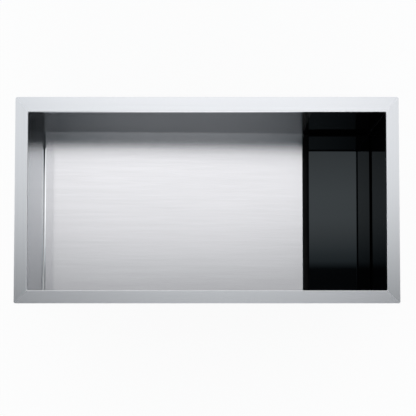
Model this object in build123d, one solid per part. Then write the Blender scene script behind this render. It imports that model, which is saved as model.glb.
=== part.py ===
from build123d import *
import math
import os

# An undermount kitchen sink with a sloping steel floor that drains through a slot into a sump
# behind a black glass cover plate. Lengths are in millimetres.
# X runs along the sink to the right, Y to the back and Z up. The origin is the centre of the
# bowl's opening on the rim's top face, where the worktop lies on the rim.

# Rim: a flat flange whose inner edge is eased, over a short lip that goes down into the bowl
OPENING_WIDTH = 787.0
OPENING_DEPTH = 393.0
OPENING_CORNER = 2.0
RIM_SIDE = 27.5
RIM_BACK = 33.0
RIM_FRONT = 28.0
RIM_CORNER = 4.0
RIM_LIP = 8.0
SHEET = 1.5
RIM_EASE = 1.0
MITRE_REACH = 0.2

# Bowl: one sheet makes the left wall and the floor, which falls to the lip of the drain slot.
# The back and front walls are flat plates welded to it, with square corners inside.
LEFT_DEPTH = 208.0
LIP_DEPTH = 226.0
LIP_X = 231.0
LIP_BEND = 2.0
BASE_BEND = 3.0
LIP_DROP = 20.0
SEAM = 1.0

# Glass linings of the drain end, which stand just outside the opening under the rim
GLASS = 6.0
GLASS_SETBACK = 2.0
BOND = 1.0
GLASS_ARRIS = 0.8
PANEL_TOP = 3.0
PANEL_LIFT = 2.0
SEAL_GAP = 1.0
TAPE_WIDTH = 19.0
TAPE_MARGIN = 20.0

# Sump under the cover plate
COVER_DEPTH = 229.0
SUMP_DEPTH = 258.0
SUMP_BEND = 3.0
COVER_LEFT = 244.5
COVER_RIGHT = 392.8
COVER_HALF = 190.6
COVER_GLASS = 8.0
COVER_CORNER = 3.0
COVER_ARRIS = 1.0

# Posts that carry the cover plate
FOOT_X = 55.0
FOOT_Y = 160.0
FOOT_PLATE = 24.0
FOOT_PLATE_THICK = 2.0
FOOT_STEM = 12.0
FOOT_PAD = 16.0
FOOT_PAD_BASE = 4.0
FOOT_PAD_HEIGHT = 8.0

# Basket strainer for a 3 1/2 inch outlet hole
DRAIN_X = 317.0
OUTLET_HOLE = 45.0
DISH_RADIUS = 63.0
DISH_FLAT = 59.0
DISH_DROP = 2.5
GASKET = 1.0
FLANGE_RADIUS = 57.0
FLANGE_THICK = 1.6
CUP_RADIUS = 43.0
CUP_WALL = 2.0
CUP_DEPTH = 44.0
THROAT_RADIUS = 19.3
THROAT_DEPTH = 56.0
SEAT_GAP = 0.3
SPIGOT_RADIUS = 23.9
SPIGOT_END = 80.0
SPOKES = 4
SPOKE_WIDTH = 4.0
SPOKE_HEIGHT = 5.0
HUB_RADIUS = 6.0
HUB_HEIGHT = 8.0
POST_RADIUS = 3.0
POST_PLAY = 0.08
POST_TAIL = 6.0

# Basket: a slotted cup on a post, with a rubber stopper under it
BASKET_RIM = 39.5
BASKET_LEDGE = 2.0
BASKET_TOP = 9.0
BASKET_BOTTOM = 47.0
BASKET_FOOT = 30.0
BASKET_WALL = 0.8
BASKET_SLOT = 2.5
WALL_SLOTS = 16
WALL_SLOT_TOP = 16.0
WALL_SLOT_BOTTOM = 41.0
BOTTOM_SLOTS = 8
BOTTOM_SLOT_IN = 9.0
BOTTOM_SLOT_OUT = 26.0
STOPPER_RADIUS = 30.0
STOPPER_THICK = 6.0
KNOB_RADIUS = 9.0
KNOB_WAIST = 5.0
KNOB_HEIGHT = 9.0
KNOB_BASE = 2.0

# Clamping ring and outlet tube below the sump
LOWER_GASKET = 3.0
GASKET_RADIUS = 56.0
FRICTION_RING = 1.0
LOCK_NUT_HEIGHT = 12.0
LOCK_NUT_RADIUS = 53.0
LOCK_NUT_BORE = 43.4
LOCK_NUT_LUGS = 6
LUG_WIDTH = 9.0
LUG_REACH = 6.0
TAIL_RADIUS = 19.05
TAIL_WALL = 1.2
TAIL_LENGTH = 101.6
TAIL_FLANGE = 22.5
TAIL_FLANGE_THICK = 1.5
TAIL_NECK = 0.6
TAIL_NECK_REACH = 1.0
WASHER = 1.5
COUPLING_RADIUS = 29.0
COUPLING_HEIGHT = 20.0
COUPLING_LIP = 3.0
COUPLING_PLAY = 0.2
COUPLING_RIBS = 8
RIB_WIDTH = 5.0
RIB_REACH = 2.0

# Rubber pads that deaden the sound of the bowl
PAD_THICK = 3.0
PAD_CORNER = 15.0
FLOOR_PAD = (500.0, 300.0)
SIDE_PAD = (500.0, 130.0)
END_PAD = (280.0, 130.0)
PAD_CENTRE_X = -90.0
PAD_CENTRE_DROP = 110.0

# Worked out from the sizes above
HALF_WIDTH = OPENING_WIDTH / 2
HALF_DEPTH = OPENING_DEPTH / 2
RIM_WIDTH = OPENING_WIDTH + 2 * RIM_SIDE
RIM_DEPTH = OPENING_DEPTH + RIM_BACK + RIM_FRONT
RIM_CENTRE_Y = (RIM_BACK - RIM_FRONT) / 2
FLOOR_FALL = (LIP_DEPTH - LEFT_DEPTH) / (LIP_X + HALF_WIDTH)
FLOOR_SECANT = math.hypot(1, FLOOR_FALL)
FLOOR_ANGLE = math.degrees(math.atan(FLOOR_FALL))
GLASS_X = HALF_WIDTH + GLASS_SETBACK
GLASS_Y = HALF_DEPTH + GLASS_SETBACK
BOX_X = GLASS_X + GLASS + BOND
BOX_Y = GLASS_Y + GLASS + BOND
SUMP_EDGE = BOX_Y - SUMP_BEND - SHEET
DISH_LEVEL = -SUMP_DEPTH - DISH_DROP
STRAINER_LEVEL = DISH_LEVEL + GASKET
COVER_UNDER = -COVER_DEPTH - COVER_GLASS
COVER_CENTRE_X = (COVER_LEFT + COVER_RIGHT) / 2
LOWER_LEVEL = DISH_LEVEL - SHEET
SEAT_SLOPE = (THROAT_DEPTH - CUP_DEPTH) / (CUP_RADIUS - CUP_WALL - THROAT_RADIUS)
BEYOND = 20.0


def block(x, y, z):
    """A box from three (low, high) pairs."""
    centre = [(low + high) / 2 for low, high in (x, y, z)]
    size = [high - low for low, high in (x, y, z)]
    return Pos(*centre) * Box(*size)


def prism(points, bottom, top):
    """A plan outline extruded from one height to another."""
    outline = make_face(Polyline(*points, close=True))
    return Pos(0, 0, bottom) * extrude(outline, amount=top - bottom, dir=(0, 0, 1))


def rounded_plate(width, depth, corner, bottom, top):
    """A rectangular plate with rounded corners, centred on the origin."""
    return Pos(0, 0, bottom) * extrude(RectangleRounded(width, depth, corner), amount=top - bottom)


def turned(points, level=0.0):
    """A closed (radius, height) outline turned about the drain's axis."""
    outline = make_face(Polyline(*[(radius, 0, height) for radius, height in points], close=True))
    return Pos(DRAIN_X, 0, level) * revolve(outline, axis=Axis.Z)


def around_drain(piece, count):
    """Copies of a piece, evenly turned about the drain's axis."""
    return [Pos(DRAIN_X, 0, 0) * Rot(0, 0, 360 * i / count) * piece for i in range(count)]


def mirrored_in_y(piece):
    return mirror(piece, about=Plane.XZ)


def arrissed(pane, radius):
    """A glass pane with all its edges ground off."""
    return chamfer(pane.edges(), radius)


# The rim


def rim_ring():
    plate = Pos(0, RIM_CENTRE_Y, 0) * rounded_plate(RIM_WIDTH, RIM_DEPTH, RIM_CORNER, -SHEET, 0)
    ring = plate + over_opening(SHEET) - over_opening(0)
    return fillet(inner_edges(ring), RIM_EASE)


def over_opening(grow):
    """A plate as deep as the rim's lip that fills the opening, grown outwards."""
    width, depth = OPENING_WIDTH + 2 * grow, OPENING_DEPTH + 2 * grow
    return rounded_plate(width, depth, OPENING_CORNER + grow, -RIM_LIP, 0)


def inner_edges(ring):
    """The edges round the opening at the rim's top face."""
    centres = [(edge, edge.center()) for edge in ring.edges()]
    return [
        edge
        for edge, centre in centres
        if abs(centre.Z) < SHEET / 4
        and edge.bounding_box().size.Z < SHEET / 4
        and abs(centre.X) < HALF_WIDTH + 2 * SHEET
        and abs(centre.Y) < HALF_DEPTH + 2 * SHEET
    ]


def rim_strips(ring):
    """The ring cut along its mitres, from each outer corner through the opening's corner."""
    left, right = -HALF_WIDTH - RIM_SIDE, HALF_WIDTH + RIM_SIDE
    back, front = HALF_DEPTH + RIM_BACK, -HALF_DEPTH - RIM_FRONT
    reach_x = HALF_WIDTH - MITRE_REACH * RIM_SIDE
    reach_back = HALF_DEPTH - MITRE_REACH * RIM_BACK
    reach_front = -HALF_DEPTH + MITRE_REACH * RIM_FRONT
    outlines = {
        "rim_left": [(left, back), (-reach_x, reach_back), (-reach_x, reach_front), (left, front)],
        "rim_right": [(right, back), (reach_x, reach_back), (reach_x, reach_front), (right, front)],
        "rim_back": [(left, back), (-reach_x, reach_back), (reach_x, reach_back), (right, back)],
        "rim_front": [(left, front), (-reach_x, reach_front), (reach_x, reach_front), (right, front)],
    }
    return {name: ring & prism(points, -BEYOND, BEYOND) for name, points in outlines.items()}


# The welded steel bowl


def floor_height(x, grow):
    """Height of the floor's water face, or of a face that lies further down by grow."""
    return -LEFT_DEPTH - FLOOR_FALL * (x + HALF_WIDTH) - grow * FLOOR_SECANT


def main_chamber(grow):
    """The bowl over the sloping floor, grown outwards on every side but the top."""
    left = -HALF_WIDTH - grow
    lip = LIP_X - grow
    lip_end = floor_height(lip, grow) - LIP_DROP
    base_corner = (left, floor_height(left, grow))
    lip_corner = (lip, floor_height(lip, grow))
    points = [
        (left, 0),
        base_corner,
        lip_corner,
        (lip, lip_end),
        (LIP_X + BEYOND, lip_end),
        (LIP_X + BEYOND, 0),
    ]
    outline = make_face(Plane.XZ * Polyline(*points, close=True))
    outline = round_corner(outline, base_corner, BASE_BEND + grow)
    outline = round_corner(outline, lip_corner, LIP_BEND - grow)
    return extrude(outline, amount=HALF_DEPTH + grow, both=True)


def round_corner(outline, corner, radius):
    """Rounds the corner of an XZ outline that lies at (x, z)."""
    nearest = min(
        outline.vertices(),
        key=lambda v: math.hypot(v.X - corner[0], v.Z - corner[1]),
    )
    return fillet(nearest, radius)


def drain_chamber(grow):
    """The drain end with its sump, wider than the bowl by the glass that lines it."""
    box = block(
        (LIP_X - grow, BOX_X + grow),
        (-BOX_Y - grow, BOX_Y + grow),
        (-SUMP_DEPTH - grow, -SHEET),
    )
    bottom_edges = [e for e in box.edges() if e.center().Z < -SUMP_DEPTH + SHEET]
    return fillet(bottom_edges, SUMP_BEND + grow)


def dish(grow):
    """The shallow recess round the outlet hole, which the strainer's flange sits in."""
    step = grow / 2
    top = -SUMP_DEPTH + SHEET
    return turned(
        [
            (0, top),
            (DISH_RADIUS + step, top),
            (DISH_RADIUS + step, -SUMP_DEPTH - grow),
            (DISH_FLAT + step, DISH_LEVEL - grow),
            (0, DISH_LEVEL - grow),
        ]
    )


def steel_bowl(ring):
    """The sheet metal under the rim: the wall tops meet the end of the rim's lip."""
    outside = main_chamber(SHEET) + drain_chamber(SHEET) + dish(SHEET)
    above_rim = block((-RIM_WIDTH, RIM_WIDTH), (-RIM_DEPTH, RIM_DEPTH), (-SHEET, BEYOND))
    lip_x, lip_y = HALF_WIDTH + SHEET, HALF_DEPTH + SHEET
    within_lip = block((-lip_x, lip_x), (-lip_y, lip_y), (-RIM_LIP, BEYOND))
    inside = main_chamber(0) + drain_chamber(0) + dish(0)
    hole = Pos(DRAIN_X, 0, DISH_LEVEL) * Cylinder(OUTLET_HOLE, BEYOND)
    return outside - above_rim - within_lip - inside - hole - ring


def steel_sheets(bowl):
    """The bowl cut along its weld seams into the sheets that it is made of."""
    base = HALF_WIDTH - BASE_BEND - SEAM
    joggle = LIP_X - SHEET
    sump_left = LIP_X + SUMP_BEND + SHEET
    sump_right = BOX_X - SUMP_BEND - SHEET
    far_x, far_y = HALF_WIDTH + RIM_SIDE, HALF_DEPTH + RIM_BACK
    corner_x = sump_right + far_y - SUMP_EDGE
    box_back = [
        (joggle, HALF_DEPTH),
        (sump_left, HALF_DEPTH),
        (sump_left, SUMP_EDGE),
        (sump_right, SUMP_EDGE),
        (corner_x, far_y),
        (joggle, far_y),
    ]
    box_right = [
        (sump_right, SUMP_EDGE),
        (corner_x, far_y),
        (corner_x, -far_y),
        (sump_right, -SUMP_EDGE),
    ]
    outlines = {
        "left_wall": corners((-far_x, -base), (-HALF_DEPTH, HALF_DEPTH)),
        "back_wall": corners((-far_x, joggle), (HALF_DEPTH, far_y)),
        "front_wall": corners((-far_x, joggle), (-far_y, -HALF_DEPTH)),
        "floor_sheet": corners((-base, sump_left), (-HALF_DEPTH, HALF_DEPTH)),
        "drain_box_back": box_back,
        "drain_box_front": in_front(box_back),
        "drain_box_right": box_right,
        "sump_pan": corners((sump_left, sump_right), (-SUMP_EDGE, SUMP_EDGE)),
    }
    return {
        name: bowl & prism(points, -SUMP_DEPTH - BEYOND, BEYOND)
        for name, points in outlines.items()
    }


def corners(x, y):
    """The plan outline of a rectangle from two (low, high) pairs."""
    return [(x[0], y[0]), (x[1], y[0]), (x[1], y[1]), (x[0], y[1])]


def in_front(points):
    """The same outline on the other side of the X axis."""
    return [(x, -y) for x, y in points]


# The glass


def panel(x, y):
    pane = block(x, y, (-SUMP_DEPTH + PANEL_LIFT, -PANEL_TOP))
    return arrissed(pane, GLASS_ARRIS)


def back_glass_panel():
    return panel((LIP_X + SEAL_GAP, GLASS_X - SEAL_GAP), (GLASS_Y, GLASS_Y + GLASS))


def right_glass_panel():
    return panel((GLASS_X, GLASS_X + GLASS), (-GLASS_Y - GLASS, GLASS_Y + GLASS))


def panel_sealant():
    """Beads in the upright joints: at the steel step and in the glass corner, back and front."""
    height = (-SUMP_DEPTH + SUMP_BEND + SEAL_GAP, -PANEL_TOP)
    depth = (GLASS_Y + GLASS_ARRIS, BOX_Y - SUMP_BEND)
    step_bead = block((LIP_X, LIP_X + SEAL_GAP), depth, height)
    corner_bead = block((GLASS_X - SEAL_GAP, GLASS_X), depth, height)
    back = [step_bead, corner_bead]
    return Compound(back + [mirrored_in_y(bead) for bead in back])


def tape_strips(low, high, count):
    """Evenly spaced (low, high) places for upright tape strips along a panel."""
    first = low + TAPE_MARGIN
    pitch = (high - TAPE_MARGIN - TAPE_WIDTH - first) / (count - 1)
    return [(first + i * pitch, first + i * pitch + TAPE_WIDTH) for i in range(count)]


def panel_bonding_tape():
    height = (-SUMP_DEPTH + 2 * TAPE_MARGIN, -TAPE_MARGIN)
    behind_y = (GLASS_Y + GLASS, BOX_Y)
    behind_x = (GLASS_X + GLASS, BOX_X)
    back = [block(x, behind_y, height) for x in tape_strips(LIP_X, GLASS_X, 3)]
    right = [block(behind_x, y, height) for y in tape_strips(-GLASS_Y, GLASS_Y, 5)]
    return Compound(back + [mirrored_in_y(strip) for strip in back] + right)


def drain_cover_glass():
    plate = rounded_plate(
        COVER_RIGHT - COVER_LEFT, 2 * COVER_HALF, COVER_CORNER, COVER_UNDER, -COVER_DEPTH
    )
    rims = [e for e in plate.edges() if e.bounding_box().size.Z < COVER_GLASS / 2]
    return Pos(COVER_CENTRE_X, 0, 0) * chamfer(rims, COVER_ARRIS)


def at_feet(piece):
    """A copy of a piece at each corner of the cover plate."""
    places = [(x, y) for x in (-FOOT_X, FOOT_X) for y in (-FOOT_Y, FOOT_Y)]
    return Compound([Pos(COVER_CENTRE_X + x, y, 0) * piece for x, y in places])


def square_post(side, bottom, top):
    return Pos(0, 0, (bottom + top) / 2) * Box(side, side, top - bottom)


def cover_feet():
    """Square posts, each with a plate that is bonded to the glass."""
    plate = square_post(FOOT_PLATE, COVER_UNDER - FOOT_PLATE_THICK, COVER_UNDER)
    stem = square_post(FOOT_STEM, -SUMP_DEPTH + FOOT_PAD_BASE, COVER_UNDER)
    return at_feet(plate + stem)


def cover_foot_pads():
    """Rubber caps on the posts' lower ends."""
    cap = square_post(FOOT_PAD, -SUMP_DEPTH, -SUMP_DEPTH + FOOT_PAD_HEIGHT)
    socket = square_post(FOOT_STEM, -SUMP_DEPTH + FOOT_PAD_BASE, -SUMP_DEPTH + BEYOND)
    return at_feet(cap - socket)


# The basket strainer


def outlet_gasket():
    return turned(
        [
            (OUTLET_HOLE, DISH_LEVEL),
            (FLANGE_RADIUS, DISH_LEVEL),
            (FLANGE_RADIUS, STRAINER_LEVEL),
            (OUTLET_HOLE, STRAINER_LEVEL),
        ]
    )


def strainer_body():
    """A flanged cup with a conical seat, a throat and a threaded spigot below it."""
    inner = CUP_RADIUS - CUP_WALL
    shell = turned(
        [
            (CUP_RADIUS, 0),
            (FLANGE_RADIUS, 0),
            (FLANGE_RADIUS - FLANGE_THICK, FLANGE_THICK),
            (CUP_RADIUS + FLANGE_THICK, FLANGE_THICK),
            (inner, -CUP_WALL),
            (inner, -CUP_DEPTH),
            (THROAT_RADIUS, -THROAT_DEPTH),
            (THROAT_RADIUS, -SPIGOT_END),
            (SPIGOT_RADIUS, -SPIGOT_END),
            (SPIGOT_RADIUS, -THROAT_DEPTH),
            (CUP_RADIUS, -CUP_DEPTH - CUP_WALL / 2),
        ],
        STRAINER_LEVEL,
    )
    level = STRAINER_LEVEL - THROAT_DEPTH - HUB_HEIGHT / 2
    reach = THROAT_RADIUS + CUP_WALL
    spoke = Pos(reach / 2, 0, level) * Box(reach, SPOKE_WIDTH, SPOKE_HEIGHT)
    body = shell + Pos(DRAIN_X, 0, level) * Cylinder(HUB_RADIUS, HUB_HEIGHT)
    for arm in around_drain(spoke, SPOKES):
        body += arm
    bore = Pos(DRAIN_X, 0, level) * Cylinder(POST_RADIUS + POST_PLAY, 2 * HUB_HEIGHT)
    return body - bore


def strainer_basket():
    """A thin tapering cup with a ledge at its rim, slotted round its wall and over its bottom."""
    top, bottom = -BASKET_TOP, -BASKET_BOTTOM
    shoulder = BASKET_RIM - BASKET_LEDGE
    cup = turned(
        [
            (POST_RADIUS, bottom),
            (BASKET_FOOT, bottom),
            (shoulder, top),
            (BASKET_RIM, top),
            (BASKET_RIM, top + BASKET_WALL),
            (shoulder - BASKET_WALL, top + BASKET_WALL),
            (BASKET_FOOT - BASKET_WALL, bottom + BASKET_WALL),
            (POST_RADIUS, bottom + BASKET_WALL),
        ],
        STRAINER_LEVEL,
    )
    wall_slot = block(
        (BASKET_FOOT / 2, BASKET_RIM),
        (-BASKET_SLOT / 2, BASKET_SLOT / 2),
        (STRAINER_LEVEL - WALL_SLOT_BOTTOM, STRAINER_LEVEL - WALL_SLOT_TOP),
    )
    bottom_slot = block(
        (BOTTOM_SLOT_IN, BOTTOM_SLOT_OUT),
        (-BASKET_SLOT / 2, BASKET_SLOT / 2),
        (STRAINER_LEVEL + bottom - BASKET_WALL, STRAINER_LEVEL + bottom + 2 * BASKET_WALL),
    )
    slots = around_drain(wall_slot, WALL_SLOTS) + around_drain(bottom_slot, BOTTOM_SLOTS)
    return cup - Compound(slots)


def seat_depth(radius):
    """How far below the flange the body's conical seat lies at a radius."""
    cup = CUP_RADIUS - CUP_WALL
    return CUP_DEPTH + (cup - radius) * SEAT_SLOPE


def basket_stopper():
    """A rubber disc under the basket with a conical edge that closes on the body's seat."""
    top = -BASKET_BOTTOM
    bottom = top - STOPPER_THICK
    clearance = SEAT_GAP * math.hypot(1, SEAT_SLOPE)
    edge = clearance - seat_depth(STOPPER_RADIUS)
    foot_radius = STOPPER_RADIUS - (edge - bottom) / SEAT_SLOPE
    return turned(
        [
            (POST_RADIUS, top),
            (STOPPER_RADIUS, top),
            (STOPPER_RADIUS, edge),
            (foot_radius, bottom),
            (POST_RADIUS, bottom),
        ],
        STRAINER_LEVEL,
    )


def basket_post():
    top = STRAINER_LEVEL - BASKET_TOP + KNOB_BASE
    bottom = STRAINER_LEVEL - THROAT_DEPTH - HUB_HEIGHT - POST_TAIL
    return Pos(DRAIN_X, 0, (top + bottom) / 2) * Cylinder(POST_RADIUS, top - bottom)


def basket_knob():
    """A waisted knob on top of the post."""
    base = KNOB_BASE - BASKET_TOP
    return turned(
        [
            (0, base),
            (KNOB_WAIST, base),
            (KNOB_RADIUS, base + KNOB_HEIGHT / 2),
            (KNOB_RADIUS, base + KNOB_HEIGHT),
            (0, base + KNOB_HEIGHT),
        ],
        STRAINER_LEVEL,
    )


def washer(inner, outer, top, thickness):
    return turned([(inner, top - thickness), (outer, top - thickness), (outer, top), (inner, top)])


def lower_gasket():
    return washer(LOCK_NUT_BORE, GASKET_RADIUS, LOWER_LEVEL, LOWER_GASKET)


def friction_ring():
    return washer(LOCK_NUT_BORE, GASKET_RADIUS, LOWER_LEVEL - LOWER_GASKET, FRICTION_RING)


def lock_nut():
    top = LOWER_LEVEL - LOWER_GASKET - FRICTION_RING
    nut = washer(LOCK_NUT_BORE, LOCK_NUT_RADIUS, top, LOCK_NUT_HEIGHT)
    lug = Box(2 * LUG_REACH, LUG_WIDTH, LOCK_NUT_HEIGHT)
    lug = Pos(LOCK_NUT_RADIUS, 0, top - LOCK_NUT_HEIGHT / 2) * lug
    for copy in around_drain(lug, LOCK_NUT_LUGS):
        nut += copy
    return nut


def tailpiece():
    """A flanged tube, thicker at its neck, that the coupling nut draws up to the spigot."""
    top = -SPIGOT_END - WASHER
    bore = TAIL_RADIUS - TAIL_WALL
    neck = TAIL_RADIUS + TAIL_NECK
    neck_end = top - TAIL_FLANGE_THICK - COUPLING_LIP - TAIL_NECK_REACH
    return turned(
        [
            (bore, top),
            (TAIL_FLANGE, top),
            (TAIL_FLANGE, top - TAIL_FLANGE_THICK),
            (neck, top - TAIL_FLANGE_THICK),
            (neck, neck_end),
            (TAIL_RADIUS, neck_end),
            (TAIL_RADIUS, top - TAIL_LENGTH),
            (bore, top - TAIL_LENGTH),
        ],
        STRAINER_LEVEL,
    )


def tailpiece_washer():
    return washer(TAIL_RADIUS - TAIL_WALL, TAIL_FLANGE, STRAINER_LEVEL - SPIGOT_END, WASHER)


def coupling_nut():
    lip_top = -SPIGOT_END - WASHER - TAIL_FLANGE_THICK
    bottom = lip_top - COUPLING_LIP
    top = bottom + COUPLING_HEIGHT
    lip_bore = TAIL_RADIUS + TAIL_NECK + COUPLING_PLAY
    nut = turned(
        [
            (SPIGOT_RADIUS + COUPLING_PLAY, top),
            (COUPLING_RADIUS, top),
            (COUPLING_RADIUS, bottom),
            (lip_bore, bottom),
            (lip_bore, lip_top),
            (SPIGOT_RADIUS + COUPLING_PLAY, lip_top),
        ],
        STRAINER_LEVEL,
    )
    level = STRAINER_LEVEL + (top + bottom) / 2
    rib = Pos(COUPLING_RADIUS, 0, level) * Box(2 * RIB_REACH, RIB_WIDTH, COUPLING_HEIGHT)
    for copy in around_drain(rib, COUPLING_RIBS):
        nut += copy
    return nut


# The sound pads


def pad(size, place):
    """A rounded rubber sheet laid on the plane of place."""
    return place * extrude(RectangleRounded(*size, PAD_CORNER), amount=PAD_THICK)


def floor_sound_pad():
    height = floor_height(PAD_CENTRE_X, SHEET)
    place = Plane((PAD_CENTRE_X, 0, height), x_dir=(1, 0, -FLOOR_FALL), z_dir=(-FLOOR_FALL, 0, -1))
    return pad(FLOOR_PAD, place)


def left_sound_pad():
    place = Plane((-HALF_WIDTH - SHEET, 0, -PAD_CENTRE_DROP), x_dir=(0, 1, 0), z_dir=(-1, 0, 0))
    return pad(END_PAD, place)


def back_sound_pad():
    place = Plane((PAD_CENTRE_X, HALF_DEPTH + SHEET, -PAD_CENTRE_DROP), x_dir=(1, 0, 0), z_dir=(0, 1, 0))
    return pad(SIDE_PAD, place)


def drain_end_sound_pad():
    place = Plane((BOX_X + SHEET, 0, -PAD_CENTRE_DROP), x_dir=(0, 1, 0), z_dir=(1, 0, 0))
    return pad(END_PAD, place)


def all_pieces():
    ring = rim_ring()
    return {
        **rim_strips(ring),
        **steel_sheets(steel_bowl(ring)),
        "back_glass_panel": back_glass_panel(),
        "front_glass_panel": mirrored_in_y(back_glass_panel()),
        "right_glass_panel": right_glass_panel(),
        "panel_sealant": panel_sealant(),
        "panel_bonding_tape": panel_bonding_tape(),
        "drain_cover_glass": drain_cover_glass(),
        "cover_feet": cover_feet(),
        "cover_foot_pads": cover_foot_pads(),
        "outlet_gasket": outlet_gasket(),
        "strainer_body": strainer_body(),
        "strainer_basket": strainer_basket(),
        "basket_stopper": basket_stopper(),
        "basket_post": basket_post(),
        "basket_knob": basket_knob(),
        "lower_gasket": lower_gasket(),
        "friction_ring": friction_ring(),
        "lock_nut": lock_nut(),
        "tailpiece": tailpiece(),
        "tailpiece_washer": tailpiece_washer(),
        "coupling_nut": coupling_nut(),
        "floor_sound_pad": floor_sound_pad(),
        "left_sound_pad": left_sound_pad(),
        "back_sound_pad": back_sound_pad(),
        "front_sound_pad": mirrored_in_y(back_sound_pad()),
        "drain_end_sound_pad": drain_end_sound_pad(),
    }


os.makedirs("parts", exist_ok=True)
for name, piece in all_pieces().items():
    export_step(piece, f"parts/{name}.step")
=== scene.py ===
import math

import bmesh
import bpy
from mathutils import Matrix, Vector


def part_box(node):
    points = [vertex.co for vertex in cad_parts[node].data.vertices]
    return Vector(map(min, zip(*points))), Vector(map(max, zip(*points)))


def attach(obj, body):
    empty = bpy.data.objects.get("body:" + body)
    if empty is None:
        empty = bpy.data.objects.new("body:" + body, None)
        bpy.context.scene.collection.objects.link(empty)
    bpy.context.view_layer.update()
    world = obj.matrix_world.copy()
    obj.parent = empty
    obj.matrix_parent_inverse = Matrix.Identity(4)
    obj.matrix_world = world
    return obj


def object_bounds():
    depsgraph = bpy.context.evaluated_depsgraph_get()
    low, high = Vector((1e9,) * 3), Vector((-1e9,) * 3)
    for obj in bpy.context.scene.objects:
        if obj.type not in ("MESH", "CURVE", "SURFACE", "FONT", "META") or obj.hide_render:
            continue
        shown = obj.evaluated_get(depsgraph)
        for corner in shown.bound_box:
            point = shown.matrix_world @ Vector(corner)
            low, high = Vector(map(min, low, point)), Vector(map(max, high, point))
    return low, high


# Looks for an undermount kitchen sink: brushed steel, black glass, rubber and plumbing metals.
# Lengths are in metres, in the part's frame: X to the right, Y to the back, Z up.

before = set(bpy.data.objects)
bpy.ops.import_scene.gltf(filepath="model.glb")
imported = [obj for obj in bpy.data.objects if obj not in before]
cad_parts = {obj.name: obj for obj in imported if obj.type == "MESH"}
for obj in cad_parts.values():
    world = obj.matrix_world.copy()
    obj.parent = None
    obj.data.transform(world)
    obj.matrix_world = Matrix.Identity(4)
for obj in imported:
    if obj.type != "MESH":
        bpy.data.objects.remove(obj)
cad_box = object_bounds()

# Camera: high above the front of the bowl, tipped a little towards the back
CAMERA_PLACE = (0.0178, -0.2960, 2.0899)
CAMERA_TILT = math.radians(2.682)
CAMERA_LENS = 83.139
CAMERA_SENSOR = 36.0
CAMERA_SHIFT = (-0.01721, 0.2)
CAMERA_REACH = 50.0

# Studio: a bright soft panel over the back of the sink and a dark ceiling over its front.
# Slopes are the sideways and backward run of a direction for each unit of rise.
PANEL_STRENGTH = 1.78
PANEL_EDGE = 0.0725
PANEL_EDGE_BLUR = 0.0006
PANEL_CENTRE = 0.02
PANEL_TINT = (1.0, 1.0, 1.0)
DARK_TINT = (0.74, 0.91, 1.0)
UNTINTED_LEVEL = 0.8
SLOPE_RANGE = 1.0
LEAST_RISE = 0.05

# The sky's brightness at each backward slope, from the front to the back
OVERHEAD = [
    (-SLOPE_RANGE, 1.2),
    (-0.6, 1.0),
    (-0.4, 0.85),
    (-0.2, 0.43),
    (-0.1, 0.07),
    (0.02, 0.03),
    (PANEL_EDGE - PANEL_EDGE_BLUR, 0.03),
    (PANEL_EDGE + PANEL_EDGE_BLUR, 0.31),
    (PANEL_EDGE + 0.01, 0.42),
    (PANEL_EDGE + 0.022, 0.66),
    (PANEL_EDGE + 0.035, 0.85),
    (PANEL_EDGE + 0.05, 1.04),
    (PANEL_EDGE + 0.075, 1.07),
    (0.17, 0.93),
    (0.2, 0.72),
    (0.27, 0.72),
    (0.45, 0.76),
    (0.7, 0.66),
    (SLOPE_RANGE, 0.62),
]

# The sideways slope at which that brightness fades, at each backward slope
SPREAD = [
    (-SLOPE_RANGE, 0.3),
    (-0.6, 0.17),
    (-0.3, 0.13),
    (-0.1, 0.12),
    (0.06, 0.25),
    (0.1, 0.3),
    (0.14, 0.36),
    (0.18, 0.4),
    (0.25, 0.44),
    (0.5, 0.6),
    (SLOPE_RANGE, 1.0),
]
FADE_POWER = 3.0

# Light from the sides, between two sideways slopes, and from the horizon, between two heights
SIDES_START = 0.45
SIDES_END = 0.85
SIDES_LEVEL = 0.42
HORIZON_LOW = 0.46
HORIZON_HIGH = 0.66

# Floor of the studio, which is part plain glow and part matt, so that it keeps a faint shadow
FLOOR_HALF = 8.0
FLOOR_GAP = 0.0005
FLOOR_GREY = (0.85, 0.85, 0.85, 1.0)
FLOOR_GLOW = 1.03
FLOOR_GLOW_SHARE = 0.88


def new_object(name, data):
    """An object in the scene that shows a mesh or a camera."""
    made = bpy.data.objects.new(name, data)
    bpy.context.scene.collection.objects.link(made)
    return made


def make_camera():
    data = bpy.data.cameras.new("camera")
    data.sensor_width = CAMERA_SENSOR
    data.lens = CAMERA_LENS
    data.shift_x, data.shift_y = CAMERA_SHIFT
    data.clip_end = CAMERA_REACH
    camera = new_object("camera", data)
    camera.location = CAMERA_PLACE
    camera.rotation_euler = (CAMERA_TILT, 0.0, 0.0)
    bpy.context.scene.camera = camera


# Node helpers


def add(tree, kind, **settings):
    node = tree.nodes.new(kind)
    for name, value in settings.items():
        setattr(node, name, value)
    return node


def feed(tree, value, socket):
    """Links a socket to an input, or sets the input to a plain number or vector."""
    if isinstance(value, bpy.types.NodeSocket):
        tree.links.new(value, socket)
    else:
        socket.default_value = value


def calculate(tree, operation, first, second=0.0, third=0.0):
    node = add(tree, "ShaderNodeMath", operation=operation)
    for value, socket in zip((first, second, third), node.inputs):
        feed(tree, value, socket)
    return node.outputs["Value"]


def remap(tree, value, low, high, to_low=0.0, to_high=1.0, smooth=False):
    """Maps low..high onto to_low..to_high, and holds the ends."""
    kind = "SMOOTHSTEP" if smooth else "LINEAR"
    node = add(tree, "ShaderNodeMapRange", interpolation_type=kind, clamp=True)
    feed(tree, value, node.inputs["Value"])
    node.inputs["From Min"].default_value = low
    node.inputs["From Max"].default_value = high
    node.inputs["To Min"].default_value = to_low
    node.inputs["To Max"].default_value = to_high
    return node.outputs["Result"]


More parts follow.
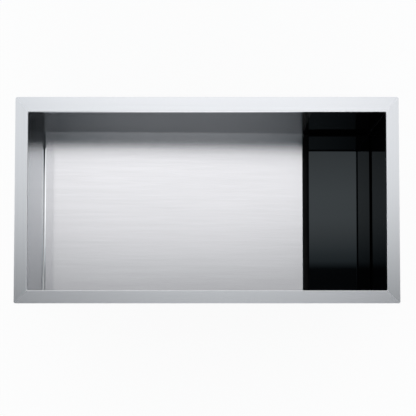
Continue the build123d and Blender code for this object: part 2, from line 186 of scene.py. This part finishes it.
def axes_of(tree, vector):
    """The X, Y and Z of a vector."""
    split = add(tree, "ShaderNodeSeparateXYZ")
    tree.links.new(vector, split.inputs["Vector"])
    return [split.outputs[axis] for axis in "XYZ"]


def ramp(tree, value, stops):
    """A grey ramp through (place, level) stops."""
    node = add(tree, "ShaderNodeValToRGB")
    elements = node.color_ramp.elements
    elements[0].position, level = stops[0]
    elements[0].color = (level, level, level, 1.0)
    elements[1].position, level = stops[-1]
    elements[1].color = (level, level, level, 1.0)
    for place, level in stops[1:-1]:
        elements.new(place).color = (level, level, level, 1.0)
    tree.links.new(value, node.inputs["Fac"])
    return node.outputs["Color"]


def noise(tree, scale, detail=3.0, roughness=0.5):
    """Noise in the part's own space. scale is cells for each metre along X, Y and Z."""
    place = add(tree, "ShaderNodeTexCoord")
    mapping = add(tree, "ShaderNodeMapping")
    mapping.inputs["Scale"].default_value = scale
    tree.links.new(place.outputs["Object"], mapping.inputs["Vector"])
    node = add(tree, "ShaderNodeTexNoise")
    node.inputs["Scale"].default_value = 1.0
    node.inputs["Detail"].default_value = detail
    node.inputs["Roughness"].default_value = roughness
    tree.links.new(mapping.outputs["Vector"], node.inputs["Vector"])
    return node.outputs["Fac"]


def even_noise(tree, cells, detail=3.0):
    """Noise with the same number of cells for each metre in every direction."""
    return noise(tree, (cells, cells, cells), detail)


def mixed(tree, factor, first, second):
    """A colour between two, by a factor. Each is a socket or plain red, green and blue."""
    node = add(tree, "ShaderNodeMix", data_type="RGBA")
    sockets = [s for s in node.inputs if s.type == "RGBA"]
    for colour, socket in zip((first, second), sockets):
        feed(tree, (*colour, 1.0) if isinstance(colour, tuple) else colour, socket)
    tree.links.new(factor, node.inputs[0])
    return [s for s in node.outputs if s.type == "RGBA"][0]


def shade(tone, share):
    """A colour made darker or lighter by a share."""
    return tuple(share * part for part in tone)


def bump(tree, height, strength, distance):
    node = add(tree, "ShaderNodeBump")
    node.inputs["Strength"].default_value = strength
    node.inputs["Distance"].default_value = distance
    tree.links.new(height, node.inputs["Height"])
    return node.outputs["Normal"]


def new_material(name):
    """A material with its shader, ready for its parts."""
    made = bpy.data.materials.new(name)
    made.use_nodes = True
    tree = made.node_tree
    return made, tree, tree.nodes["Principled BSDF"]


# Studio


def slope_ramp(tree, slope, stops):
    """A grey ramp through (slope, level) stops."""
    place = remap(tree, slope, -SLOPE_RANGE, SLOPE_RANGE)
    return ramp(tree, place, [((stop + SLOPE_RANGE) / (2 * SLOPE_RANGE), level) for stop, level in stops])


def light_overhead(tree, sideways, backward):
    """How bright the panel, the dark ceiling and the sides are in a direction, by its slopes."""
    offset = calculate(tree, "ABSOLUTE", calculate(tree, "SUBTRACT", sideways, PANEL_CENTRE))
    reach = calculate(tree, "DIVIDE", offset, slope_ramp(tree, backward, SPREAD))
    falling = calculate(tree, "MULTIPLY", calculate(tree, "POWER", reach, FADE_POWER), -1.0)
    fade = calculate(tree, "EXPONENT", falling)
    panel = calculate(tree, "MULTIPLY", slope_ramp(tree, backward, OVERHEAD), fade)
    to_side = calculate(tree, "ABSOLUTE", sideways)
    sides = remap(tree, to_side, SIDES_START, SIDES_END, 0.0, SIDES_LEVEL, smooth=True)
    return calculate(tree, "MAXIMUM", panel, sides)


def make_studio():
    """World light by direction: white at the horizon, a soft panel and a dark zone overhead."""
    world = bpy.data.worlds.new("studio")
    bpy.context.scene.world = world
    world.use_nodes = True
    tree = world.node_tree
    tree.nodes.clear()
    x, y, z = axes_of(tree, add(tree, "ShaderNodeTexCoord").outputs["Generated"])
    rise = calculate(tree, "MAXIMUM", z, LEAST_RISE)
    lit = light_overhead(tree, calculate(tree, "DIVIDE", x, rise), calculate(tree, "DIVIDE", y, rise))
    height = remap(tree, z, HORIZON_LOW, HORIZON_HIGH, smooth=True)
    unlit = remap(tree, lit, 0.0, UNTINTED_LEVEL, 1.0, 0.0)
    colour = mixed(tree, calculate(tree, "MULTIPLY", unlit, height), PANEL_TINT, DARK_TINT)
    horizon = calculate(tree, "SUBTRACT", 1.0, height)
    panel = calculate(tree, "MULTIPLY", lit, PANEL_STRENGTH)
    background = add(tree, "ShaderNodeBackground")
    tree.links.new(colour, background.inputs["Color"])
    tree.links.new(
        calculate(tree, "MULTIPLY_ADD", panel, height, horizon), background.inputs["Strength"]
    )
    output = add(tree, "ShaderNodeOutputWorld")
    tree.links.new(background.outputs["Background"], output.inputs["Surface"])


def mixed_shader(tree, factor, first, second):
    node = add(tree, "ShaderNodeMixShader")
    for value, socket in zip((factor, first, second), node.inputs):
        tree.links.new(value, socket)
    return node.outputs["Shader"]


def floor_material():
    """White to the eye and in reflections, matt grey to other light, and clear from below."""
    made = bpy.data.materials.new("floor_white")
    made.use_nodes = True
    tree = made.node_tree
    tree.nodes.clear()
    ray = add(tree, "ShaderNodeLightPath")
    seen = calculate(tree, "MAXIMUM", ray.outputs["Is Camera Ray"], ray.outputs["Is Glossy Ray"])
    seen = calculate(tree, "MAXIMUM", seen, ray.outputs["Is Transmission Ray"])
    matt = add(tree, "ShaderNodeBsdfDiffuse")
    matt.inputs["Color"].default_value = FLOOR_GREY
    glow = add(tree, "ShaderNodeEmission")
    glow.inputs["Strength"].default_value = FLOOR_GLOW
    share = calculate(tree, "MULTIPLY", seen, FLOOR_GLOW_SHARE)
    above = mixed_shader(tree, share, matt.outputs["BSDF"], glow.outputs["Emission"])
    clear = add(tree, "ShaderNodeBsdfTransparent")
    below = add(tree, "ShaderNodeNewGeometry").outputs["Backfacing"]
    output = add(tree, "ShaderNodeOutputMaterial")
    tree.links.new(mixed_shader(tree, below, above, clear.outputs["BSDF"]), output.inputs["Surface"])
    return made


def make_floor():
    """A pale floor just under the sink's lowest point."""
    level = cad_box[0].z - FLOOR_GAP
    half = FLOOR_HALF
    corners = [(-half, -half, level), (half, -half, level), (half, half, level), (-half, half, level)]
    mesh = bpy.data.meshes.new("floor")
    mesh.from_pydata(corners, [], [(0, 1, 2, 3)])
    mesh.materials.append(floor_material())
    new_object("floor", mesh)


# Materials

STEEL_TONE = (0.745, 0.735, 0.755)
RIM_TONE = (0.722, 0.727, 0.752)
END_RIM_TONE = (0.755, 0.755, 0.775)
# Long and end walls are the same steel: the long walls' darker tone paints shade and the end walls'
# lighter tone paints light
LONG_WALL_SHADED_TONE = (0.59, 0.61, 0.63)
END_WALL_LIT_TONE = (0.775, 0.78, 0.795)
# Lighter tone on eased edges and bends, which paints a highlight along them
EDGE_HIGHLIGHT_TONE = (0.98, 0.98, 0.99)
# Near-black coating, dark enough that it also paints the shade in the sump
COATING_AND_SHADE_TONE = (0.006, 0.006, 0.0065)

# The long walls mirror less where the eye glances along them, which paints shade on them
LONG_WALL_GLANCE_SHADE = 0.06

# Hairlines: cells of noise for each metre along the grain and across it
BROAD_STREAKS = (0.8, 120.0)
FINE_STREAKS = (1.5, 450.0)
STREAKS_LOW = 0.36
STREAKS_HIGH = 0.64
STREAK_SHADE = 0.955
CLOUD_CELLS = 5.0
CLOUD_ROUGHNESS = 0.012

# A surface is an eased edge where its normal's Z is between these, which fade in and out
EDGE_FROM = (0.05, 0.2)
EDGE_TO = (0.93, 0.99)

# The foot of the floor sheet is coated near-black below this level, which also paints the shade down the
# drain slot
SUMP_LEVEL = -0.24
SUMP_LEVEL_BLUR = 0.001


def brushed_steel(
    name, grain, roughness=0.15, anisotropy=0.97, tone=STEEL_TONE, glance=1.0, coated_and_shaded_foot=False
):
    """Stainless steel with hairlines along one axis: 0 is X, 1 is Y and 2 is Z."""
    made, tree, shader = new_material(name)

    def streaks(cells):
        along, across = cells
        return noise(tree, tuple(along if axis == grain else across for axis in range(3)), detail=2.0)

    both = calculate(tree, "ADD", streaks(BROAD_STREAKS), streaks(FINE_STREAKS))
    lightness = remap(tree, calculate(tree, "MULTIPLY", both, 0.5), STREAKS_LOW, STREAKS_HIGH)
    colour = mixed(tree, lightness, shade(tone, STREAK_SHADE), tone)
    # A lighter tone on eased edges and bends paints a highlight along them
    colour = mixed(tree, painted_edge_highlight(tree), colour, EDGE_HIGHLIGHT_TONE)
    if coated_and_shaded_foot:
        # Near-black coating below the slot's lip, dark enough that it also paints the shade down the
        # drain slot
        colour = mixed(tree, sump_coating_and_shade(tree), colour, COATING_AND_SHADE_TONE)
    clouds = even_noise(tree, CLOUD_CELLS, detail=2.0)
    smoothest = roughness - CLOUD_ROUGHNESS / 2
    cloudy = calculate(tree, "MULTIPLY_ADD", clouds, CLOUD_ROUGHNESS, smoothest)
    tree.links.new(colour, shader.inputs["Base Color"])
    tree.links.new(cloudy, shader.inputs["Roughness"])
    tree.links.new(tangent_across(tree, grain), shader.inputs["Tangent"])
    shader.inputs["Metallic"].default_value = 1.0
    # A glance below 1 mirrors less at glancing angles, which paints shade on the long walls
    shader.inputs["Specular Tint"].default_value = (glance, glance, glance, 1.0)
    shader.inputs["Anisotropic"].default_value = anisotropy
    return made


def sump_coating_and_shade(tree):
    """1 on what lies below the drain slot's lip, in the part's own space, and 0 above it."""
    place = add(tree, "ShaderNodeTexCoord")
    level = axes_of(tree, place.outputs["Object"])[2]
    return remap(tree, level, SUMP_LEVEL - SUMP_LEVEL_BLUR, SUMP_LEVEL + SUMP_LEVEL_BLUR, 1.0, 0.0)


def painted_edge_highlight(tree):
    """1 on rounded edges between a flat top and an upright face, where a lighter tone paints a highlight,
    and 0 elsewhere.
    """
    upward = axes_of(tree, add(tree, "ShaderNodeNewGeometry").outputs["Normal"])[2]
    off_the_side = remap(tree, upward, *EDGE_FROM)
    off_the_top = remap(tree, upward, *EDGE_TO, 1.0, 0.0)
    return calculate(tree, "MULTIPLY", off_the_top, off_the_side)


def tangent_across(tree, grain):
    """The direction in the surface square to the hairlines, which is where highlights spread."""
    normal = add(tree, "ShaderNodeNewGeometry").outputs["Normal"]
    cross = add(tree, "ShaderNodeVectorMath", operation="CROSS_PRODUCT")
    tree.links.new(normal, cross.inputs[0])
    cross.inputs[1].default_value = tuple(1.0 if axis == grain else 0.0 for axis in range(3))
    # The nudge keeps a direction on faces that are square to the hairlines
    nudge = add(tree, "ShaderNodeVectorMath", operation="ADD")
    tree.links.new(cross.outputs["Vector"], nudge.inputs[0])
    nudge.inputs[1].default_value = (0.0007, 0.0011, 0.0013)
    return nudge.outputs["Vector"]


def black_glass(name):
    """Polished black glass with faint wiping marks."""
    made, tree, shader = new_material(name)
    wiped = noise(tree, (9.0, 30.0, 9.0), detail=5.0, roughness=0.6)
    tree.links.new(remap(tree, wiped, 0.35, 0.75, 0.005, 0.035), shader.inputs["Roughness"])
    tint = mixed(tree, wiped, (0.0012, 0.0012, 0.0016), (0.002, 0.002, 0.0025))
    tree.links.new(tint, shader.inputs["Base Color"])
    shader.inputs["IOR"].default_value = 1.4
    shader.inputs["Specular Tint"].default_value = (0.8, 0.93, 1.0, 1.0)
    return made


def rubber(name, tone, cells=900.0, roughness=0.75, height=0.0003, gloss=0.5):
    """Matt rubber, foam or coating with a fine moulded grain."""
    made, tree, shader = new_material(name)
    grain = even_noise(tree, cells)
    patches = even_noise(tree, 14.0)
    tree.links.new(mixed(tree, patches, tone, shade(tone, 1.35)), shader.inputs["Base Color"])
    tree.links.new(
        remap(tree, patches, 0.3, 0.7, roughness - 0.08, roughness + 0.08), shader.inputs["Roughness"]
    )
    shader.inputs["Specular IOR Level"].default_value = gloss
    tree.links.new(bump(tree, grain, 0.4, height), shader.inputs["Normal"])
    return made


def turned_metal(name, tone, roughness, cast=False):
    """Bare or plated metal: turned marks run round Z, and a cast piece is pitted instead."""
    made, tree, shader = new_material(name)
    scale = (700.0, 700.0, 700.0) if cast else (60.0, 60.0, 3000.0)
    marks = noise(tree, scale)
    patches = even_noise(tree, 40.0, detail=2.0)
    tree.links.new(mixed(tree, patches, shade(tone, 0.85), tone), shader.inputs["Base Color"])
    tree.links.new(
        remap(tree, marks, 0.3, 0.7, 0.8 * roughness, 1.2 * roughness), shader.inputs["Roughness"]
    )
    shader.inputs["Metallic"].default_value = 1.0
    tree.links.new(bump(tree, marks, 0.25, 0.0002), shader.inputs["Normal"])
    return made


def moulded(name, tone, roughness):
    """Plastic or fibre with a faint uneven surface."""
    made, tree, shader = new_material(name)
    pits = even_noise(tree, 500.0, detail=4.0)
    tree.links.new(mixed(tree, pits, shade(tone, 0.8), tone), shader.inputs["Base Color"])
    tree.links.new(
        remap(tree, pits, 0.3, 0.7, roughness - 0.06, roughness + 0.06), shader.inputs["Roughness"]
    )
    tree.links.new(bump(tree, pits, 0.3, 0.0002), shader.inputs["Normal"])
    return made


def dress(made, *nodes):
    """Gives CAD nodes a material in all their slots."""
    for node in nodes:
        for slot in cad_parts[node].material_slots:
            slot.material = made


def dress_steel():
    # The floor sheet's foot is near-black below the slot's lip, which also paints the shade down the
    # drain slot
    dress(brushed_steel("steel_floor", 0, roughness=0.149, coated_and_shaded_foot=True), "floor_sheet")
    # The long walls get a shaded copy of the wall steel, and the end walls a lit copy
    dress(
        brushed_steel(
            "steel_walls_long_shaded", 0, anisotropy=1.0, tone=LONG_WALL_SHADED_TONE, glance=LONG_WALL_GLANCE_SHADE
        ),
        "back_wall", "front_wall", "drain_box_back", "drain_box_front",
    )
    dress(
        brushed_steel("steel_walls_end_lit", 1, roughness=0.09, anisotropy=1.0, tone=END_WALL_LIT_TONE),
        "left_wall", "drain_box_right",
    )
    dress(
        brushed_steel("steel_rim_long", 0, roughness=0.2, anisotropy=0.8, tone=RIM_TONE),
        "rim_back", "rim_front",
    )
    dress(
        brushed_steel("steel_rim_end", 1, roughness=0.28, anisotropy=0.4, tone=END_RIM_TONE),
        "rim_left", "rim_right",
    )
    # The sump pan's near-black coating also paints the shade seen down the drain slot
    dress(rubber("coated_and_shaded_steel", COATING_AND_SHADE_TONE, cells=600.0, roughness=0.35, gloss=0.1), "sump_pan")


def dress_glass():
    dress(
        black_glass("black_glass"),
        "back_glass_panel", "front_glass_panel", "right_glass_panel", "drain_cover_glass",
    )
    dress(rubber("sealant", (0.02, 0.02, 0.02), cells=200.0, roughness=0.4), "panel_sealant")
    dress(rubber("bonding_tape", (0.03, 0.03, 0.03)), "panel_bonding_tape")


def dress_rubber():
    dress(
        rubber("black_rubber", (0.018, 0.018, 0.018)),
        "cover_foot_pads", "basket_stopper", "outlet_gasket", "lower_gasket",
    )
    dress(
        rubber("sound_pad_rubber", (0.05, 0.05, 0.053), cells=350.0, roughness=0.85, height=0.0008),
        "floor_sound_pad", "left_sound_pad", "back_sound_pad", "front_sound_pad",
        "drain_end_sound_pad",
    )


def dress_outlet():
    dress(
        turned_metal("turned_steel", (0.62, 0.62, 0.64), 0.28),
        "cover_feet", "basket_post", "basket_knob",
    )
    dress(
        turned_metal("strainer_steel", (0.64, 0.64, 0.66), 0.32),
        "strainer_body", "strainer_basket",
    )
    dress(turned_metal("nut_metal", (0.5, 0.5, 0.51), 0.42, cast=True), "lock_nut", "coupling_nut")
    dress(turned_metal("chromed_tube", (0.56, 0.56, 0.58), 0.16), "tailpiece")
    dress(moulded("ring_card", (0.42, 0.33, 0.22), 0.8), "friction_ring")
    dress(moulded("white_washer", (0.75, 0.75, 0.73), 0.5), "tailpiece_washer")


# Screw threads on the strainer: each is a ridge that runs on a little way inside its nut

CUP_RADIUS = 0.043
CUP_THREAD_BOTTOM = -0.3025
CUP_PITCH = 0.0025
CUP_RIDGE = 0.0008
SPIGOT_RADIUS = 0.0239
SPIGOT_THREAD_TOP = -0.3165
SPIGOT_PITCH = 0.0022
SPIGOT_RIDGE = 0.0007
INSIDE_NUT = 0.004

# A ridge's shape: sections for each turn, depth of its root in the tube, sections over which it
# fades at an end, half its root's width as a share of the pitch, and the crest's as a share of the root's
THREAD_STEPS = 48
THREAD_ROOT = 0.0002
THREAD_FADE = 24
ROOT_SHARE = 0.4
CREST_SHARE = 0.2


def drain_axis():
    """X of the upright axis that the strainer and the tailpiece share, to a tenth of a millimetre."""
    low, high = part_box("tailpiece")
    return round((low.x + high.x) / 2, 4)


def ridge_section(radius, level, root, height):
    """The corners of a ridge's section, each as its distance from the axis and its level."""
    crest = CREST_SHARE * root
    return (
        (radius - THREAD_ROOT, level + root),
        (radius + height, level + crest),
        (radius + height, level - crest),
        (radius - THREAD_ROOT, level - root),
    )


def thread(name, radius, top, bottom, pitch, height):
    """A ridge wound round the drain's axis, which fades into the tube at both ends."""
    centre = drain_axis()
    steps = int((top - bottom) / pitch * THREAD_STEPS)
    ridge = bmesh.new()
    sections = []
    for step in range(steps + 1):
        angle = 2 * math.pi * step / THREAD_STEPS
        level = top - pitch * step / THREAD_STEPS
        fade = min(1.0, (step + 1) / THREAD_FADE, (steps - step + 1) / THREAD_FADE)
        section = ridge_section(radius, level, ROOT_SHARE * pitch * fade, height * fade)
        sections.append([
            ridge.verts.new((centre + reach * math.cos(angle), reach * math.sin(angle), place))
            for reach, place in section
        ])
    for first, second in zip(sections, sections[1:]):
        for corner in range(4):
            after = (corner + 1) % 4
            ridge.faces.new((first[corner], first[after], second[after], second[corner]))
    ridge.faces.new(sections[0][::-1])
    ridge.faces.new(sections[-1])
    bmesh.ops.recalc_face_normals(ridge, faces=ridge.faces)
    mesh = bpy.data.meshes.new(name)
    ridge.to_mesh(mesh)
    ridge.free()
    mesh.materials.append(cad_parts["strainer_body"].material_slots[0].material)
    piece = new_object(name, mesh)
    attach(piece, "sink")


def make_threads():
    """Threads on the cup below the lock nut, and on the spigot above the coupling nut."""
    cup_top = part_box("lock_nut")[0].z + INSIDE_NUT
    thread("cup_thread", CUP_RADIUS, cup_top, CUP_THREAD_BOTTOM, CUP_PITCH, CUP_RIDGE)
    spigot_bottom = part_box("coupling_nut")[1].z - INSIDE_NUT
    thread(
        "spigot_thread", SPIGOT_RADIUS, SPIGOT_THREAD_TOP, spigot_bottom, SPIGOT_PITCH, SPIGOT_RIDGE
    )


make_camera()
make_studio()
make_floor()
dress_steel()
dress_glass()
dress_rubber()
dress_outlet()
make_threads()
bpy.context.scene.view_settings.view_transform = "Standard"
